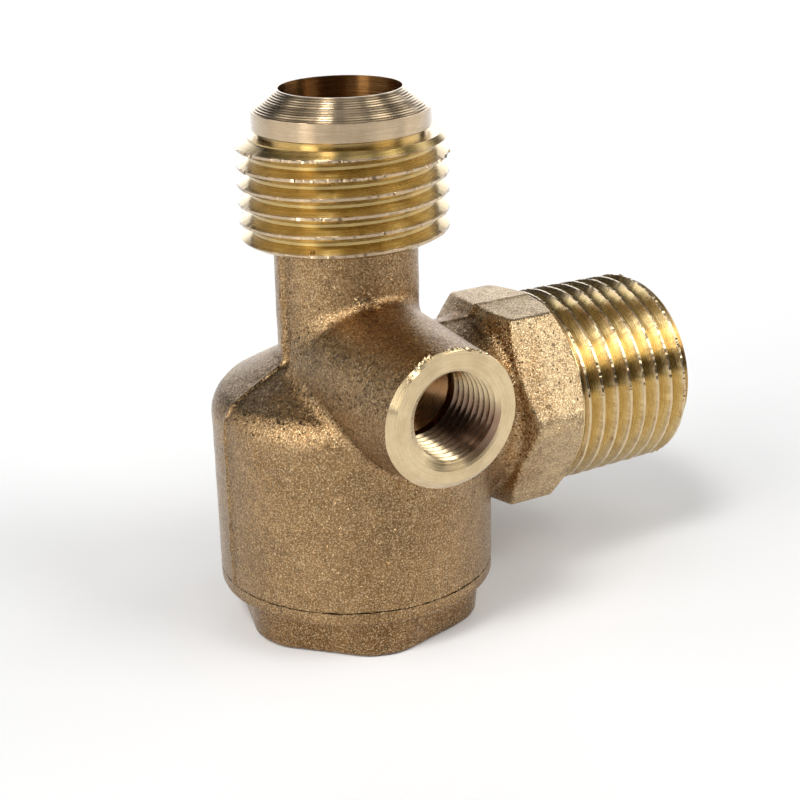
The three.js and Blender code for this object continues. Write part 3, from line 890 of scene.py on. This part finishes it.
# ---------- valve body ----------
def inlet_end(material):
    """The male flare end: thread, undercut, collar and a cone with the marks of the turning tool."""
    thread = threaded_rod("inlet_thread", material, **INLET, burr=INLET_BURR)
    crest, bottom, top = INLET["crest"], INLET["bottom"], INLET["top"]
    envelope = turned("inlet_envelope", [
        (0, bottom), (crest - 0.2, bottom), (crest + 0.3, bottom + 0.5),
        (crest + 0.3, top - (crest + 0.3 - INLET_TOP_RADIUS)), (INLET_TOP_RADIUS, top), (0, top),
    ], material)
    combine(thread, [envelope], "INTERSECT")
    cone = cone_profile((NOSE["collar"], NOSE["collar_top"]), (NOSE["rim"], NOSE["top"]))
    nose = turned("inlet_nose", [
        (0, top - 1), (NOSE["undercut"], top - 1), (NOSE["undercut"], NOSE["collar_bottom"] - 0.12),
        (NOSE["collar"] - 0.05, NOSE["collar_bottom"]), (NOSE["collar"], NOSE["collar_bottom"] + 0.08),
        *cone, (0, NOSE["top"]),
    ], material)
    return combine(thread, [nose], "UNION")


def cone_profile(start, end):
    """A straight cone cut by a pointed tool: shallow grooves of uneven depth."""
    steps = 6
    across = Vector((end[1] - start[1], start[0] - end[0])).normalized()
    points = []
    for groove in range(CONE_GROOVES):
        depth = CONE_GROOVE_DEPTH * RANDOM.uniform(0.4, 1.6)
        for step in range(steps):
            share = (groove + step / steps) / CONE_GROOVES
            wave = depth * (0.5 - 0.5 * math.cos(2 * math.pi * step / steps))
            radius = start[0] + (end[0] - start[0]) * share - across.x * wave
            height = start[1] + (end[1] - start[1]) * share - across.y * wave
            points.append((radius, height))
    points.append(end)
    return points


def outlet_end(material):
    """The taper thread, with its chamfered end and the neck that joins it to the hexagon."""
    thread = threaded_rod("outlet_thread", material, **OUTLET, burr=OUTLET_BURR)
    crest, root, bottom, top = OUTLET["crest"], OUTLET["root"], OUTLET["bottom"], OUTLET["top"]
    end_radius = crest - OUTLET["taper"] * (top - bottom)
    envelope = turned("outlet_envelope", [
        (0, bottom - 1), (root, bottom - 1), (crest + 0.3, bottom + 0.4),
        (end_radius + 0.3, top - 1.25), (end_radius - 0.95, top), (0, top),
    ], material)
    combine(thread, [envelope], "INTERSECT")
    core = turned("outlet_core", [
        (0, bottom - 3), (root + 0.7, bottom - 3), (root + 0.7, bottom + 0.1),
        (root, bottom + 0.8), (root - 0.05, bottom + 2), (0, bottom + 2),
    ], material)
    return along_outlet(combine(thread, [core], "UNION"))


def plug_thread_cut(material):
    """The plug's thread once more, a little wider, from the seam up."""
    thread = dict(PLUG_THREAD, bottom=SEAM_Z)
    thread["crest"] += PLUG_THREAD_CLEARANCE
    thread["root"] += PLUG_THREAD_CLEARANCE
    rod = threaded_rod("cut_plug_thread", material, **thread)
    length = turned("cut_length", [(0, 3), (13, 3), (13, 13.6), (0, 13.6)], material)
    return combine(rod, [length], "INTERSECT")


def body_cuts(forged, turned_z, turned_x, turned_y, drilled_z, drilled_y):
    """Everything that is machined off or out of the body."""
    plug_thread = plug_thread_cut(turned_z)
    seam = SEAM_Z + SEAM_GAP / 2
    below_seam = turned("cut_seam", [(0, 3), (20, 3), (20, seam), (0, seam)], forged)
    hex_reach = HEX_APOTHEM / COS_30 + 0.6
    chamfer_x = HEX_RIGHT_X - HEX_RIGHT_CHAMFER
    return [
        ragged(below_seam, seam, SEAM_UNEVENNESS),
        turned("cut_chamber", [
            (0, 3), (RING_GROOVE_RADIUS, 3), (RING_GROOVE_RADIUS, RING_GROOVE_TOP),
            (CHAMBER_RADIUS, RING_GROOVE_TOP), (CHAMBER_RADIUS, CEILING_Z - 1.2),
            (CHAMBER_RADIUS - 1.2, CEILING_Z), (SEAT_OUTER_RADIUS + 0.5, CEILING_Z),
            (SEAT_OUTER_RADIUS, SEAT_Z), (0, SEAT_Z),
        ], turned_z),
        plug_thread,
        turned("cut_inlet_bore", [
            (0, SEAT_Z - 1), (NECK_BORE_RADIUS, SEAT_Z - 1), (NECK_BORE_RADIUS, INLET_BORE_BOTTOM),
            (INLET_BORE_RADIUS, INLET_BORE_BOTTOM + 1), (INLET_BORE_RADIUS, NOSE["top"] + 1),
            (0, NOSE["top"] + 1),
        ], drilled_z),
        along_outlet(turned("cut_outlet_bore", [
            (0, CHAMBER_RADIUS - 0.4), (OUTLET_BORE_RADIUS, CHAMBER_RADIUS - 0.4),
            (OUTLET_BORE_RADIUS, OUTLET["top"] - 0.4), (OUTLET_BORE_RADIUS + 1.4, OUTLET["top"] + 1),
            (0, OUTLET["top"] + 1),
        ], turned_x)),
        along_outlet(turned("cut_hexagon_end", [
            (hex_reach, chamfer_x), (hex_reach + 3, chamfer_x), (hex_reach + 3, HEX_RIGHT_X + 1),
            (HEX_APOTHEM - 0.2, HEX_RIGHT_X + 1), (HEX_APOTHEM - 0.2, HEX_RIGHT_X + 0.15),
        ], turned_x)),
        *port_cuts(turned_y, drilled_y),
    ]


def port_cuts(turned_y, drilled_y):
    """The small port: its tapped and stepped hole, its face, and the nick in its rim."""
    tap = threaded_rod("cut_port_thread", turned_y, **PORT, burr=PORT_THREAD_BURR)
    length = turned("cut_port_length", [
        (0, PORT_THREAD_END + 1), (PORT["crest"] + 1, PORT_THREAD_END + 1),
        (PORT["crest"] + 1, PORT_FACE + 1), (0, PORT_FACE + 1),
    ], turned_y)
    point = (PORT["root"] - PORT_DRILL_RADIUS) / math.tan(DRILL_POINT / 2)
    drilling = turned("cut_port_drill", [
        (0, NECK_BORE_RADIUS - 1), (PORT_DRILL_RADIUS, NECK_BORE_RADIUS - 1),
        (PORT_DRILL_RADIUS, PORT_THREAD_END - point), (PORT["root"], PORT_THREAD_END),
        (PORT["root"], PORT_THREAD_END + 1.2), (0, PORT_THREAD_END + 1.2),
    ], drilled_y)
    tapped = turned("cut_port_bore", [
        (0, PORT_THREAD_END + 0.9), (PORT["root"], PORT_THREAD_END + 0.9),
        (PORT["root"], PORT_FACE - PORT_SINK_DEPTH), (PORT_SINK_RADIUS, PORT_FACE),
        (PORT_SINK_RADIUS, PORT_FACE + 1), (0, PORT_FACE + 1),
    ], turned_y)
    face = turned("cut_port_face", [
        (0, PORT_FACE), (PORT_FACE_RADIUS, PORT_FACE),
        (PORT_FACE_RADIUS + PORT_FACE_CHAMFER, PORT_FACE - PORT_FACE_CHAMFER),
        (PORT_FACE_RADIUS + 3, PORT_FACE - PORT_FACE_CHAMFER), (PORT_FACE_RADIUS + 3, PORT_FACE + 2),
        (0, PORT_FACE + 2),
    ], turned_y)
    cut = combine(tap, [length], "INTERSECT")
    nick = lumpy_arc("cut_port_nick", PORT_FACE_RADIUS + 0.25, **PORT_NICK, material=turned_y)
    lift(nick, PORT_FACE - 0.1)
    return [along_port(tool) for tool in (face, cut, drilling, tapped, nick)]


def small_burrs(turned_z, turned_y):
    """Lumps of metal pushed up along the top of the port's rim and round the foot of the cone."""
    burrs = []
    for start, end, thickness in PORT_BURRS:
        radius = PORT_FACE_RADIUS + 0.8 * thickness
        burr = lumpy_arc("port_burr", radius, start, end, thickness, turned_y)
        burrs.append(along_port(lift(burr, PORT_FACE - thickness - 0.02)))
    for start in CONE_BURR_STARTS:
        burr = lumpy_arc("cone_burr", NOSE["collar"] - 0.03, start, start + CONE_BURR_LENGTH,
                         CONE_BURR_THICKNESS, turned_z)
        burrs.append(lift(burr, NOSE["collar_top"]))
    return burrs


def valve_body(forged, turned_z, turned_x, turned_y, drilled_z, drilled_y):
    """The whole body. What trims the forging comes before the turned ends, and the holes after them."""
    low = (-15.5, -PORT_FACE - 1.2, 4.6)
    high = (HEX_RIGHT_X + 0.9, 15.5, NECK_TOP_Z + 1.2)
    body = field_mesh("valve_body_forging", forging_field, low, high, forged, GRID_STEP)
    cuts = body_cuts(forged, turned_z, turned_x, turned_y, drilled_z, drilled_y)
    outside = [cut for cut in cuts if cut.name in ("cut_seam", "cut_hexagon_end")]
    combine(body, outside, "DIFFERENCE")
    combine(body, [inlet_end(turned_z), outlet_end(turned_x)], "UNION")
    combine(body, [cut for cut in cuts if cut not in outside], "DIFFERENCE")
    combine(body, small_burrs(turned_z, turned_y), "UNION")
    dent = lumpy_arc("cut_thread_dent", INLET["crest"] - 0.15, **THREAD_DENT, material=drilled_z)
    combine(body, [lift(dent, THREAD_DENT_Z)], "DIFFERENCE")
    return mark_hollows(soften(keep_inside(body)))


# ---------- plug and inner pieces ----------
def bottom_plug(forged, turned_z):
    """The hexagon plug with its thread, the cup that holds the spring and the poppet's guide bore."""
    low = (-15.2, -15.2, -0.6)
    high = (15.2, 15.2, SEAM_Z + 0.9)
    plug = field_mesh("bottom_plug_forging", plug_field, low, high, forged, GRID_STEP)
    seam = SEAM_Z - SEAM_GAP / 2
    above_seam = turned("cut_plug_top", [(0, seam), (20, seam), (20, 12), (0, 12)], forged)
    combine(plug, [ragged(above_seam, seam, SEAM_UNEVENNESS)], "DIFFERENCE")
    bottom, top = PLUG_THREAD["bottom"], PLUG_THREAD["top"]
    thread = threaded_rod("plug_thread", turned_z, **PLUG_THREAD)
    envelope = turned("plug_envelope", [
        (0, bottom), (PLUG_RELIEF_RADIUS, bottom), (PLUG_THREAD["crest"] + 0.3, bottom + 0.9),
        (PLUG_THREAD["crest"] + 0.3, top - 1.1), (PLUG_THREAD["root"], top), (0, top),
    ], turned_z)
    combine(thread, [envelope], "INTERSECT")
    relief = turned("plug_relief", [
        (0, seam - 1), (PLUG_RELIEF_RADIUS, seam - 1), (PLUG_RELIEF_RADIUS, bottom + 0.5),
        (0, bottom + 0.5),
    ], turned_z)
    combine(plug, [relief, thread], "UNION")
    cup = turned("cut_cup", [
        (GUIDE_OUTER_RADIUS, CUP_FLOOR), (CUP_RADIUS, CUP_FLOOR), (CUP_RADIUS, top + 1),
        (GUIDE_OUTER_RADIUS, top + 1),
    ], turned_z)
    guide = turned("cut_guide", [
        (0, GUIDE_BOTTOM), (GUIDE_BORE_RADIUS, GUIDE_BOTTOM), (GUIDE_BORE_RADIUS, top + 1),
        (0, top + 1),
    ], turned_z)
    combine(plug, [cup, guide], "DIFFERENCE")
    return soften(keep_inside(plug))


def return_spring(material):
    """A coil of round wire with flat end turns, in the CAD spring's box."""
    low, high = (np.array(corner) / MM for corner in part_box("return_spring"))
    sides = 12
    steps = 48
    radius = high[0] - SPRING_WIRE
    bottom, top = low[2] + SPRING_WIRE, high[2] - SPRING_WIRE
    end_rise = 2 * SPRING_WIRE + 0.12
    turns = np.arange(SPRING_TURNS * steps + 1) / steps
    heights = np.interp(turns, (0, 1, SPRING_TURNS - 1, SPRING_TURNS),
                        (bottom, bottom + end_rise, top - end_rise, top))
    points = []
    for index, height in enumerate(heights):
        angle = 2 * math.pi * index / steps
        for side in range(sides):
            turn = 2 * math.pi * side / sides
            reach = radius + SPRING_WIRE * math.cos(turn)
            points.append(polar(reach, angle, height + SPRING_WIRE * math.sin(turn)))
    spring = tube("return_spring_wire", points, sides, material)
    return soften(spring, WIRE_EDGE)


# ---------- camera, light and floor ----------
def camera_frame():
    """The camera's place and axes: it looks down at the valve from its front left."""
    azimuth, elevation, roll = math.radians(29.5), math.radians(20.82), math.radians(-1.42)
    pivot = Vector((0, 0, 27.35))
    distance, slide_right, slide_up = 171.2, 5.13, -3.885
    level = math.cos(elevation)
    back = Vector((-math.sin(azimuth) * level, -math.cos(azimuth) * level, math.sin(elevation)))
    right = Vector((math.cos(azimuth), -math.sin(azimuth), 0))
    up = back.cross(right)
    turned_right = math.cos(roll) * right + math.sin(roll) * up
    turned_up = -math.sin(roll) * right + math.cos(roll) * up
    place = pivot + distance * back + slide_right * turned_right + slide_up * turned_up
    return place, turned_right, turned_up, back


def add_camera():
    place, right, up, back = camera_frame()
    data = bpy.data.cameras.new("camera")
    data.lens = 75.26
    data.sensor_width = 36
    data.clip_start = 0.01
    made = bpy.data.objects.new("camera", data)
    axes = Matrix((right, up, back)).transposed().to_4x4()
    made.matrix_world = Matrix.Translation(place * MM) @ axes
    bpy.context.scene.collection.objects.link(made)
    bpy.context.scene.camera = made


# Softboxes far away, as (azimuth from -Y towards +X, half width, lowest elevation, highest
# elevation, strength), with all angles in degrees.
SOFTBOXES = [
    (-73, 9, 6, 46, 7.5),
    (-58, 11, 49, 61, 28.0),
    (-106, 26, 6, 46, 2.5),
    (38, 16, 26, 52, 7.6),
    (0, 20, 44, 66, 2.0),
    (80, 20, 0, 40, 2.4),
    (150, 27, -4, 29, 2.1),
]
CEILING = (70, 0.55)  # elevation from which the ceiling is seen, and its strength
STUDIO_GREY = 0.04
EDGE = 4  # degrees over which a softbox fades, to either side of its edge


def above(t, height, elevation):
    """0 below an elevation in degrees and 1 above it, for a direction's height."""
    low, high = (math.sin(math.radians(elevation + side)) for side in (-EDGE, EDGE))
    return t.rise(height, low, high)


def add_world():
    """White to the camera; to everything else a dark studio with softboxes above the horizon."""
    world = bpy.data.worlds.new("studio")
    bpy.context.scene.world = world
    world.use_nodes = True
    t = Tree(world.node_tree)
    direction = t.add("ShaderNodeTexCoord").outputs["Generated"]
    height = t.split(direction)[2]
    level = t.vector("NORMALIZE", t.vector("MULTIPLY", direction, (1, 1, 0)))
    total = STUDIO_GREY
    for azimuth, half_width, low, high, strength in SOFTBOXES:
        middle = (math.sin(math.radians(azimuth)), -math.cos(math.radians(azimuth)), 0)
        wide, narrow = (math.cos(math.radians(half_width + side)) for side in (EDGE, -EDGE))
        sideways = t.rise(t.vector("DOT_PRODUCT", level, middle), wide, narrow)
        upwards = t.math("SUBTRACT", above(t, height, low), above(t, height, high))
        inside = t.times(sideways, upwards)
        total = t.math("MULTIPLY_ADD", inside, strength, total)
    lowest, strength = CEILING
    total = t.math("MULTIPLY_ADD", above(t, height, lowest), strength, total)
    studio = t.add("ShaderNodeBackground", Strength=total).outputs[0]
    white = t.add("ShaderNodeBackground", Color=(1, 1, 1)).outputs[0]
    to_camera = t.add("ShaderNodeLightPath").outputs["Is Camera Ray"]
    choose = t.add("ShaderNodeMixShader")
    for socket, value in zip(choose.inputs, (to_camera, studio, white)):
        t.fill(socket, value)
    t.add("ShaderNodeOutputWorld", Surface=choose.outputs[0])


def add_floor():
    reach = 3000
    corners = [(-reach, -reach, 0), (reach, -reach, 0), (reach, reach, 0), (-reach, reach, 0)]
    floor = mesh_object("floor", corners, [[0, 1, 2, 3]], floor_paint())


# ---------- the valve ----------
def place(piece, body, node, slot):
    """Puts a piece on a moving body, in the place of a CAD node, whose mesh is hidden; slot is not
    used.
    """
    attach(piece, body)
    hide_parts(node)


def main():
    bpy.context.scene.view_settings.view_transform = "Standard"
    add_camera()
    add_world()
    add_floor()

    forged = forged_brass()
    upright, on_outlet, on_port = (0, 0, 0), (0, 0, OUTLET_AXIS_Z), (0, 0, PORT_AXIS_Z)
    turned_z = turned_brass("turned_brass_upright", 2, upright, (GOLDEN, PALE),
                            (INLET["crest"] - 0.2, INLET["crest"] - 0.04),
                            (INLET["bottom"], NOSE["collar_bottom"]))
    turned_x = turned_brass("turned_brass_outlet", 0, on_outlet, (LIGHT_GOLD, BRIGHT),
                            (OUTLET["crest"] - 0.42, OUTLET["crest"] - 0.26),
                            (HEX_RIGHT_X, OUTLET["top"] - 0.4))
    # The port's wall towards +X and downwards gets a painted shade.
    turned_y = turned_brass("turned_brass_port", 1, on_port, (BRIGHT, BRIGHT), shaded_side=(0.8, 0, -0.6))
    # Painted shade inside the bores and the thread's dent.
    drilled_z = turned_brass("drilled_brass_upright", 2, upright, (BORE_SHADE, PALE))
    drilled_y = turned_brass("drilled_brass_port", 1, on_port, (BORE_SHADE, PALE))
    body = valve_body(forged, turned_z, turned_x, turned_y, drilled_z, drilled_y)
    place(body, "valve", "valve_body", "valve_body")
    plug = bottom_plug(forged, turned_z)
    place(plug, "valve", "bottom_plug", "bottom_plug")

    spring = return_spring(spring_steel())
    place(spring, "valve", "return_spring", "return_spring")
    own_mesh(spring)

    rubber = black_rubber()
    for node, material in (("plug_o_ring", rubber), ("seal_disc", rubber), ("poppet", turned_z)):
        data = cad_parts[node].data
        data.materials.clear()
        data.materials.append(material)


main()
